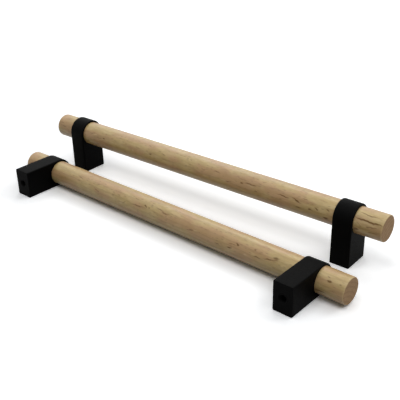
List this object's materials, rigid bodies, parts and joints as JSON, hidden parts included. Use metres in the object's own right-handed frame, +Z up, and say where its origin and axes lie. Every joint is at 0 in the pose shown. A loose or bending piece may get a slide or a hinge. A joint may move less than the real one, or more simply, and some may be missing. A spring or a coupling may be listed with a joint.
{
  "type": "through-bar cabinet handles",
  "caption": "Cabinet handles, each a round wooden bar through D-shaped black metal posts with a threaded screw hole in the base, one upright and one lying on its side.",
  "frame": {"origin": "on the surface that the handles stand on, midway between the two screw holes of the upright handle", "axes": "+X along the upright handle's bar, +Y from the lying handle to the upright one, +Z up"},
  "size_m": [0.2329, 0.0678, 0.033],
  "materials": {
    "beech": "turned and sanded, clear matt lacquer",
    "black_cast_metal": "cast zinc, fine matt black powder coat",
    "black_steel": "hardened steel, black oxide"
  },
  "bodies": {
    "upright_bar": {"upright_bar": "beech"},
    "upright_left_post": {"upright_left_post": "black_cast_metal"},
    "upright_right_post": {"upright_right_post": "black_cast_metal"},
    "upright_left_grub_screw": {"upright_left_grub_screw": "black_steel"},
    "upright_right_grub_screw": {"upright_right_grub_screw": "black_steel"},
    "lying_bar": {"lying_bar": "beech"},
    "lying_left_post": {"lying_left_post": "black_cast_metal"},
    "lying_right_post": {"lying_right_post": "black_cast_metal"},
    "lying_left_grub_screw": {"lying_left_grub_screw": "black_steel"},
    "lying_right_grub_screw": {"lying_right_grub_screw": "black_steel"}
  },
  "joints": [
    {"name": "upright_left_post_slide", "type": "slide", "parent": "upright_bar", "child": "upright_left_post", "axis": [1, 0, 0], "range_m": [-0.013, 0.09]},
    {"name": "upright_left_grub_screw_travel", "type": "slide", "parent": "upright_left_post", "child": "upright_left_grub_screw", "axis": [0, 0, -1], "range_m": [0, 0.01275]},
    {"name": "upright_right_post_slide", "type": "slide", "parent": "upright_bar", "child": "upright_right_post", "axis": [-1, 0, 0], "range_m": [-0.0145, 0.09]},
    {"name": "upright_right_grub_screw_travel", "type": "slide", "parent": "upright_right_post", "child": "upright_right_grub_screw", "axis": [0, 0, -1], "range_m": [0, 0.01275]},
    {"name": "lying_left_post_slide", "type": "slide", "parent": "lying_bar", "child": "lying_left_post", "axis": [0.9996, -0.0279, 0], "range_m": [-0.013, 0.09]},
    {"name": "lying_left_grub_screw_travel", "type": "slide", "parent": "lying_left_post", "child": "lying_left_grub_screw", "axis": [-0.0279, -0.9996, 0], "range_m": [0, 0.01275]},
    {"name": "lying_right_post_slide", "type": "slide", "parent": "lying_bar", "child": "lying_right_post", "axis": [-0.9996, 0.0279, 0], "range_m": [-0.0145, 0.09]},
    {"name": "lying_right_grub_screw_travel", "type": "slide", "parent": "lying_right_post", "child": "lying_right_grub_screw", "axis": [-0.0279, -0.9996, 0], "range_m": [0, 0.01275]},
    {"name": "lying_handle_lift", "type": "slide", "parent": "upright_bar", "child": "lying_bar", "axis": [0, 0, 1], "range_m": [0, 0.04]}
  ]
}
